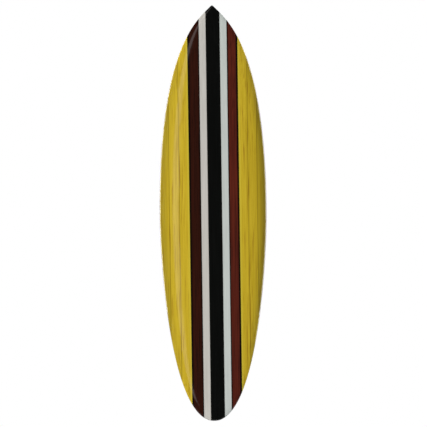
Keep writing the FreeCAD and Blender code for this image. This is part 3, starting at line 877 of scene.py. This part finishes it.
PLANK_FINISHES = {
    "white_plank_left": WARM_WHITE, "white_plank_right": COOL_WHITE,
    "inner_stringer_left": DARK_STRIP, "inner_stringer_right": DARK_STRIP,
    "redwood_plank_left": LEFT_REDWOOD, "redwood_plank_right": RIGHT_REDWOOD,
    "outer_stringer_left": DARK_STRIP, "outer_stringer_right": DARK_STRIP,
    # The yellow planks' brightness shares and rail settings paint shade, darker towards the rails and on the right
    # side, away from the light on the left; the inner yellow planks also carry the painted highlight along their
    # inner glue line.
    "yellow_plank_inner_left": replace(yellow(11.0, 1.0, 0.0), inner_painted_highlight=PAINTED_HIGHLIGHT),
    "yellow_plank_middle_left": yellow(12.5, 0.98, 0.3),
    "rail_plank_left": yellow(14.0, 0.95, 0.6),
    "yellow_plank_inner_right": replace(yellow(21.0, 0.96, 0.0), inner_painted_highlight=PAINTED_HIGHLIGHT),
    "yellow_plank_middle_right": yellow(22.5, 0.92, 0.4),
    "rail_plank_right": yellow(24.0, 0.86, 0.8),
}


# --- recesses in the centre plank --------------------------------------------

@dataclass(frozen=True)
class Seat:
    """A place on the bottom: +Z runs along the bottom and +Y out of it."""

    place: Vector
    out: Vector

    @property
    def matrix(self) -> Matrix:
        """The matrix from the seat's own axes to the frame's."""
        sideways = Vector((1, 0, 0))
        along = sideways.cross(self.out)
        turn = Matrix((sideways, self.out, along)).transposed()
        return Matrix.Translation(self.place) @ turn.to_4x4()

    @classmethod
    def at_mount(cls, name: str) -> "Seat":
        """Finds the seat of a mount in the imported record."""
        mount = next(m for m in frame["record"]["mounts"] if m["name"] == name)
        return cls(Vector(mount["pos_m"]), Vector(mount["axis"]))

    @classmethod
    def at_hinge(cls, name: str) -> "Seat":
        """Finds the seat on a hinge's axis."""
        joint = next(j for j in frame["joints"] if j["name"] == name)
        return cls(Vector(joint["pos_m"]), Vector(joint["axis"]))


def prism(outline: Sequence[Pair], low: float, high: float, seat: Seat,
          axis: str = "Y") -> bmesh.types.BMesh:
    """Models a closed prism in a seat's axes.

    Args:
        outline: corners as (across, along) for axis Y, or (along, out) for axis X.
        low: where the prism starts along its axis.
        high: where it ends.
        seat: the place it is built at.
        axis: the seat's axis that the prism runs along, X or Y.

    Returns:
        The prism's mesh in the frame's axes.
    """
    bm = bmesh.new()
    bmesh.ops.create_circle(bm, cap_ends=True, segments=len(outline), radius=1.0)
    bm.verts.ensure_lookup_table()
    for vert, (first, second) in zip(bm.verts, outline):
        vert.co = (first, low, second) if axis == "Y" else (low, second, first)
    step = Vector((0, high - low, 0)) if axis == "Y" else Vector((high - low, 0, 0))
    raised = bmesh.ops.extrude_face_region(bm, geom=bm.faces[:])["geom"]
    bmesh.ops.translate(bm, verts=[g for g in raised if isinstance(g, bmesh.types.BMVert)],
                        vec=step)
    bmesh.ops.recalc_face_normals(bm, faces=bm.faces[:])
    bmesh.ops.transform(bm, matrix=seat.matrix, verts=bm.verts[:])
    return bm


def rounded_bar(length: float, width: float, steps: int = 16) -> list[Pair]:
    """Lists the outline of a bar with round ends, as (across, along)."""
    straight = (length - width) / 2
    corners = []
    for end, start in ((1, 0.0), (-1, math.pi)):
        for step in range(steps + 1):
            turn = start + math.pi * step / steps
            corners.append((width / 2 * math.cos(turn),
                            end * straight + width / 2 * math.sin(turn)))
    return corners


@dataclass
class BottomRecesses:
    """The pockets for the fin box and the vent in the centre plank."""

    box_seat: Seat
    vent_seat: Seat
    box_length: float = 0.270
    box_width: float = 0.025
    box_depth: float = 0.026
    flange_radius: float = 0.010
    flange_depth: float = 0.002
    bush_radius: float = 0.008
    bush_depth: float = 0.017
    proud: float = 0.005

    def cut_from(self, plank: bpy.types.Object) -> None:
        """Cuts the pockets out of a plank.

        Args:
            plank: the plank's object, whose mesh is replaced.
        """
        cuts = ((rounded_bar(self.box_length, self.box_width), self.box_depth, self.box_seat),
                (rounded_bar(2 * self.flange_radius, 2 * self.flange_radius),
                 self.flange_depth, self.vent_seat),
                (rounded_bar(2 * self.bush_radius, 2 * self.bush_radius),
                 self.bush_depth, self.vent_seat))
        for outline, depth, seat in cuts:
            bm = prism(outline, -depth, self.proud, seat)
            bmesh.ops.remove_doubles(bm, verts=bm.verts[:], dist=WELD)
            cutter = piece_from(bm, "cutter")
            combined(plank, cutter, "DIFFERENCE")
            remove(cutter)


# --- the fin -----------------------------------------------------------------

@dataclass(frozen=True)
class FinForm:
    """The fin's outline and foil, as (along the slot, off the bottom)."""

    depth: float = 0.216
    base: float = 0.157
    rear: float = -0.092
    sweep: float = 0.033
    gap: float = 0.0004
    base_thickness: float = 0.0092
    tip_thickness: float = 0.003
    taper_power: float = 1.5
    trailing_edge: float = 0.0014
    resin_edge: float = 0.009
    top_share: float = 0.997
    cutter_half: float = 0.0125
    leading_handles: tuple[Pair, Pair] = ((0.90, 0.37), (0.58, 0.99))
    trailing_handles: tuple[Pair, Pair] = ((-0.38, 0.99), (0.27, 0.44))
    foil: tuple[Pair, ...] = ((0.0, 0.0), (0.0, 0.55), (0.16, 1.15), (0.50, 1.05), (0.80, 0.50))
    levels: int = 96
    foil_steps: int = 26

    @property
    def leading(self) -> tuple[Pair, ...]:
        """The front's curve, from the base to the tip."""
        low, high = self.leading_handles
        return (self.rear + self.base, 0.0), self.handle(*low), self.handle(*high), self.tip

    @property
    def trailing(self) -> tuple[Pair, ...]:
        """The back's curve, from the tip to the base."""
        high, low = self.trailing_handles
        return self.tip, self.handle(*high), self.handle(*low), (self.rear, 0.0)

    @property
    def tip(self) -> Pair:
        """The tip's place."""
        return self.rear - self.sweep, self.depth

    def handle(self, along: float, up: float) -> Pair:
        """Gives a curve's handle from shares of the base and the depth."""
        return self.rear + along * self.base, up * self.depth

    def blade(self, seat: Seat) -> bmesh.types.BMesh:
        """Models the whole foiled blade at its seat."""
        weights = spline_weights(6, self.foil_steps)
        sections = []
        for level in range(self.levels + 1):
            share = math.sin(math.pi / 2 * level / self.levels)
            height = self.gap + (self.depth * self.top_share - self.gap) * share
            front = across(self.leading, height, 1)
            chord = front - across(self.trailing, height, 1)
            taper = 1 - (height / self.depth) ** self.taper_power
            half = (self.tip_thickness + (self.base_thickness - self.tip_thickness) * taper) / 2
            points = [(along * chord, out * half) for along, out in self.foil]
            foil = weights @ np.array([*points, (chord, self.trailing_edge / 2)])
            ring = np.vstack([foil[::-1] * (1, -1), foil[1:], foil[-1:] * (1, -1)])
            sections.append(np.column_stack([ring[:, 1], np.full(len(ring), height),
                                             front - ring[:, 0]]))
        bm = tube_from_sections(np.array(sections))
        bmesh.ops.transform(bm, matrix=seat.matrix, verts=bm.verts[:])
        return bm

    def core_outline(self, steps: int = 36, skip: int = 3, crossing: float = 0.98) -> list[Pair]:
        """Lists the wooden core's outline, run down past the blade's base.

        Args:
            steps: places taken along each curve.
            skip: how many places each one kept stands for.
            crossing: share of the edge's width under which offset places have crossed.

        Returns:
            Corners as (along, out).
        """
        shares = [k / steps for k in range(steps)]
        run = [bezier(self.leading, share) for share in shares]
        run += [bezier(self.trailing, share) for share in shares + [1.0]]
        inside = []
        for before, here, after in zip(run, run[1:], run[2:]):
            along, up = after[0] - before[0], after[1] - before[1]
            step = self.resin_edge / math.hypot(along, up)
            spot = (here[0] - step * up, here[1] + step * along)
            if min(math.dist(spot, place) for place in run) > crossing * self.resin_edge:
                inside.append(spot)
        kept = inside[::skip]
        smooth: list[Pair] = []
        padded = [kept[0], *kept, kept[-1]]
        for first, second, third, fourth in zip(padded, padded[1:], padded[2:], padded[3:]):
            for part in range(4):
                t = part / 4
                smooth.append(tuple(
                    0.5 * (2 * b + (c - a) * t + (2 * a - 5 * b + 4 * c - d) * t * t
                           + (3 * b - a - 3 * c + d) * t ** 3)
                    for a, b, c, d in zip(first, second, third, fourth)))
        return [*smooth, kept[-1], (kept[-1][0], -self.resin_edge),
                (kept[0][0], -self.resin_edge)]


@dataclass
class Fin:
    """The fin's wooden core and clear resin edge."""

    seat: Seat
    form: FinForm = FinForm()

    def build(self) -> None:
        """Models and dresses the blade's two pieces."""
        half = self.form.cutter_half
        cutter = piece_from(prism(self.form.core_outline(), -half, half, self.seat, "X"), "cutter")
        for name, operation, finish, slot, node in (
                ("foil_core", "INTERSECT", LaminatedWood(), "fin_wood", "fin_core"),
                ("foil_resin_edge", "DIFFERENCE", ResinEdge(), "fin_resin", "fin_resin_edge")):
            piece = piece_from(self.form.blade(self.seat), name)
            combined(piece, cutter, operation)
            piece.data.materials.clear()
            piece.data.materials.append(finish.material(slot))
            place_piece(piece, "fin", node)
        remove(cutter)


@dataclass(frozen=True)
class LaminatedWood:
    """Strips of red and pale wood glued side by side along the fin."""

    red: Colour = (0.150, 0.045, 0.018)
    pale: Colour = (0.42, 0.24, 0.085)
    glue: Colour = (0.012, 0.007, 0.005)
    strip: float = 0.024
    glue_share: float = 0.06
    rake: float = math.radians(24)
    streak_width: float = 0.004
    streak_length: float = 0.09
    wander: float = 0.003
    plank: float = 31.0
    figure: Pair = (0.55, 1.15)
    roughness: Pair = (0.4, 0.6)
    bump: float = 0.08
    bump_distance: float = 0.0006
    coat_roughness: float = 0.05

    def material(self, name: str) -> bpy.types.Material:
        """Builds the material."""
        material, canvas, shader = SHOP.start(name)
        place = canvas.add("TexCoord").outputs["Object"]
        parts = canvas.add("SeparateXYZ", Vector=place)
        across_strips = canvas.maths(
            "ADD", canvas.maths("MULTIPLY", parts.outputs["Z"], math.cos(self.rake)),
            canvas.maths("MULTIPLY", parts.outputs["Y"], math.sin(self.rake)))
        along_strips = canvas.maths(
            "SUBTRACT", canvas.maths("MULTIPLY", parts.outputs["Y"], math.cos(self.rake)),
            canvas.maths("MULTIPLY", parts.outputs["Z"], math.sin(self.rake)))
        turned = canvas.add("CombineXYZ", X=across_strips, Y=parts.outputs["X"],
                            Z=along_strips).outputs[0]
        count = canvas.maths("DIVIDE", across_strips, self.strip)
        odd = canvas.maths("GREATER_THAN", canvas.maths(
            "FRACT", canvas.maths("MULTIPLY", canvas.maths("FLOOR", count), 0.5)), 0.25)
        grain = SHOP.use(canvas, SHOP.grain, Place=turned, Streak_Width=self.streak_width,
                         Streak_Length=self.streak_length, Wander=self.wander,
                         Plank=self.plank)
        figure = canvas.stretch(grain.outputs["Streaks"], 0.0, 1.0, *self.figure)
        strip = canvas.blend(odd, self.red, self.pale)
        wood = canvas.blend(1.0, strip, canvas.add("CombineXYZ", X=figure, Y=figure,
                                                   Z=figure).outputs[0], "MULTIPLY")
        within = canvas.maths("FRACT", count)
        near = canvas.maths("MINIMUM", within, canvas.maths("SUBTRACT", 1.0, within))
        line = canvas.maths("LESS_THAN", near, self.glue_share / 2)
        canvas.feed(shader, "Base Color", canvas.blend(line, wood, self.glue))
        coat = SHOP.use(canvas, SHOP.coat, Place=place)
        canvas.feed(shader, "Roughness", canvas.stretch(coat.outputs["Scuffs"], 0.0, 1.0,
                                                        *self.roughness))
        canvas.roughen(shader, coat.outputs["Height"], self.bump, self.bump_distance)
        canvas.feed(shader, "Coat Weight", 1.0)
        canvas.feed(shader, "Coat Roughness", self.coat_roughness)
        return material


@dataclass(frozen=True)
class ResinEdge:
    """Clear amber resin with a little cloudiness and fine sanding marks."""

    clear: Colour = (0.64, 0.44, 0.17)
    cloudy: Colour = (0.46, 0.29, 0.10)
    ripple_size: float = 0.018
    scuff_size: float = 0.012
    roughness: Pair = (0.12, 0.4)
    bump: float = 0.1
    bump_distance: float = 0.0005
    transmission: float = 0.35
    coat: float = 0.6

    def material(self, name: str) -> bpy.types.Material:
        """Builds the material."""
        material, canvas, shader = SHOP.start(name)
        place = canvas.add("TexCoord").outputs["Object"]
        coat = SHOP.use(canvas, SHOP.coat, Place=place, Ripple_Size=self.ripple_size,
                        Scuff_Size=self.scuff_size)
        cloud = canvas.stretch(coat.outputs["Height"], 0.3, 0.7)
        canvas.feed(shader, "Base Color", canvas.blend(cloud, self.clear, self.cloudy))
        canvas.feed(shader, "Roughness", canvas.stretch(coat.outputs["Scuffs"], 0.0, 1.0,
                                                        *self.roughness))
        canvas.roughen(shader, coat.outputs["Height"], self.bump, self.bump_distance)
        canvas.feed(shader, "Transmission Weight", self.transmission)
        canvas.feed(shader, "Coat Weight", self.coat)
        return material


# --- fittings ----------------------------------------------------------------

@dataclass(frozen=True)
class FittingFinish:
    """A moulded, turned or drawn surface with grain along one way and worn patches."""

    colour: Colour
    worn: Colour
    metallic: float = 0.0
    roughness: Pair = (0.45, 0.65)
    grain_size: float = 0.0008
    stretch: tuple[float, float, float] = (1.0, 1.0, 1.0)
    scuff_size: float = 0.012
    bump: float = 0.15
    bump_distance: float = 0.0002

    def material(self, name: str) -> bpy.types.Material:
        """Builds the material."""
        material, canvas, shader = SHOP.start(name)
        place = canvas.add("TexCoord").outputs["Object"]
        drawn = canvas.add("Mapping", Vector=place, Scale=self.stretch).outputs["Vector"]
        coat = SHOP.use(canvas, SHOP.coat, Place=drawn, Ripple_Size=self.grain_size,
                        Scuff_Size=self.scuff_size)
        wear = coat.outputs["Scuffs"]
        canvas.feed(shader, "Base Color", canvas.blend(wear, self.colour, self.worn))
        canvas.feed(shader, "Metallic", self.metallic)
        low, high = self.roughness
        rough = canvas.maths("ADD", canvas.stretch(wear, 0.0, 1.0, low, high), canvas.maths(
            "MULTIPLY", canvas.maths("SUBTRACT", coat.outputs["Height"], 0.5), high - low))
        canvas.feed(shader, "Roughness", rough)
        canvas.roughen(shader, coat.outputs["Height"], self.bump, self.bump_distance)
        return material


FITTINGS = {
    "fin_box": FittingFinish((0.022, 0.022, 0.024), (0.075, 0.074, 0.072), bump=0.35),
    "leash_pin": FittingFinish((0.60, 0.43, 0.16), (0.40, 0.27, 0.10), 1.0, (0.22, 0.42),
                               stretch=(0.05, 1.0, 1.0)),
    "fin_roll_pin": FittingFinish((0.58, 0.42, 0.16), (0.38, 0.26, 0.10), 1.0, (0.24, 0.45),
                                  stretch=(0.05, 1.0, 1.0)),
    "fin_tab": FittingFinish((0.30, 0.27, 0.18), (0.40, 0.37, 0.27), 0.0, (0.35, 0.55),
                             0.0012, bump=0.4),
    "fin_screw": FittingFinish((0.60, 0.60, 0.59), (0.42, 0.41, 0.40), 1.0, (0.22, 0.40),
                               0.0006),
    "fin_plate": FittingFinish((0.55, 0.55, 0.54), (0.40, 0.39, 0.38), 1.0, (0.28, 0.48),
                               0.0006, (1.0, 1.0, 0.06)),
    "vent_insert": FittingFinish((0.62, 0.45, 0.17), (0.42, 0.29, 0.11), 1.0, (0.20, 0.40),
                                 0.0007),
    "vent_screw": FittingFinish((0.64, 0.47, 0.18), (0.44, 0.30, 0.12), 1.0, (0.18, 0.38),
                                0.0007),
    "vent_oring": FittingFinish((0.018, 0.018, 0.018), (0.04, 0.04, 0.039), 0.0, (0.5, 0.7),
                                0.0005),
}


def dress_fittings() -> None:
    """Gives each CAD fitting its finish."""
    for node, finish in FITTINGS.items():
        mesh = frame["nodes"][node].data
        mesh.materials.clear()
        mesh.materials.append(finish.material("finish_" + node))
        log.info("%s: finish put on", node)


# --- studio ------------------------------------------------------------------

@dataclass(frozen=True)
class SoftLight:
    """A rectangular studio light that faces the board's middle."""

    name: str
    place: Vector
    size: Pair
    power: float
    colour: Colour = (1.0, 1.0, 1.0)
    mirrored: bool = True

    def build(self) -> None:
        """Adds the light, which shows in the gloss only if it is mirrored."""
        data = bpy.data.lights.new(self.name, "AREA")
        data.shape = "RECTANGLE"
        data.size, data.size_y = self.size
        data.energy = self.power
        data.color = self.colour
        lamp = bpy.data.objects.new(self.name, data)
        bpy.context.scene.collection.objects.link(lamp)
        lamp.matrix_world = (Matrix.Translation(self.place)
                             @ (-self.place).to_track_quat("-Z", "Y")
                             .to_matrix().to_4x4())
        lamp.visible_camera = False
        lamp.visible_glossy = self.mirrored


STUDIO_LIGHTS = (
    SoftLight("left_fill", Vector((-5.4, -3.6, 0.3)), (4.6, 5.0), 515.0, (1.0, 0.985, 0.96),
              mirrored=False),
    SoftLight("right_fill", Vector((5.6, -3.4, 0.4)), (4.2, 5.0), 305.0, mirrored=False),
    SoftLight("strip", Vector((-0.98, -4.0, -0.1)), (0.46, 2.9), 6.0, (1.0, 0.90, 0.88)),
    SoftLight("back_left", Vector((-4.4, 3.0, 0.9)), (1.2, 4.4), 210.0),
    SoftLight("back_right", Vector((4.6, 2.6, 0.5)), (1.2, 4.4), 140.0),
    SoftLight("overhead", Vector((0.4, 0.6, 4.2)), (2.4, 2.4), 120.0),
)


@dataclass
class Studio:
    """White surroundings, a pale floor, soft lights and the camera."""

    floor_level: float = -1.6
    floor_radius: float = 2.5
    fade_share: float = 0.3
    floor_roughness: float = 0.7
    floor_colours: tuple[Colour, Colour] = ((0.86, 0.86, 0.87), (0.92, 0.92, 0.92))
    glow: float = 0.02
    lens: float = 180.0
    camera_place: Vector = field(default_factory=lambda: Vector((0.0019, -10.0, 0.0012)))
    roll: float = math.radians(-0.33)

    def surroundings(self) -> None:
        """Makes the world white to the camera and dim to everything else."""
        world = bpy.data.worlds.new("studio")
        world.use_nodes = True
        bpy.context.scene.world = world
        canvas = NodeCanvas(world.node_tree)
        world.node_tree.nodes.clear()
        seen = canvas.add("LightPath").outputs["Is Camera Ray"]
        back = canvas.add("Background", Color=(1.0, 1.0, 1.0),
                          Strength=canvas.stretch(seen, 0.0, 1.0, self.glow, 1.0))
        world.node_tree.links.new(back.outputs[0], canvas.add("OutputWorld").inputs["Surface"])

    def floor(self) -> None:
        """Lays a pale round floor below the board, clearer with distance from its middle."""
        bm = bmesh.new()
        bmesh.ops.create_circle(bm, cap_ends=True, segments=96, radius=self.floor_radius)
        bmesh.ops.translate(bm, verts=bm.verts[:], vec=(0, 0, self.floor_level))
        floor = piece_from(bm, "floor")
        material, canvas, shader = SHOP.start("floor")
        place = canvas.add("TexCoord").outputs["Object"]
        coat = SHOP.use(canvas, SHOP.coat, Place=place, Ripple_Size=0.6, Scuff_Size=0.3)
        canvas.feed(shader, "Base Color", canvas.blend(coat.outputs["Height"],
                                                       *self.floor_colours))
        canvas.feed(shader, "Roughness", self.floor_roughness)
        reach = canvas.add("VectorMath", {"operation": "LENGTH"}, Vector=place).outputs["Value"]
        canvas.feed(shader, "Alpha", canvas.stretch(reach, self.floor_radius * self.fade_share,
                                                    self.floor_radius, 1.0, 0.0))
        floor.data.materials.append(material)

    def camera(self) -> None:
        """Sets up the camera square on to the deck."""
        data = bpy.data.cameras.new("camera")
        data.lens = self.lens
        data.clip_end = 100.0
        camera = bpy.data.objects.new("camera", data)
        bpy.context.scene.collection.objects.link(camera)
        level = Matrix.Rotation(math.pi / 2, 4, "X") @ Matrix.Rotation(self.roll, 4, "Z")
        camera.matrix_world = Matrix.Translation(self.camera_place) @ level
        bpy.context.scene.camera = camera

    def build(self) -> None:
        """Builds the whole studio."""
        self.surroundings()
        self.floor()
        for light in STUDIO_LIGHTS:
            light.build()
        self.camera()
        bpy.context.scene.view_settings.view_transform = "Standard"


def main() -> None:
    """Builds, dresses and lights the surfboard."""
    logging.basicConfig(level=logging.INFO, format="%(name)s: %(message)s")
    length = CAD_BOUNDS[1].z - CAD_BOUNDS[0].z
    blank = GluedBoard(BoardForm(length))
    blank.build()
    box_seat = Seat.at_mount("fin_track")
    BottomRecesses(box_seat, Seat.at_hinge("vent_screw_turn")).cut_from(
        blank.pieces["centre_plank"])
    Fin(box_seat).build()
    dress_fittings()
    Studio().build()


if __name__ == "__main__":
    main()
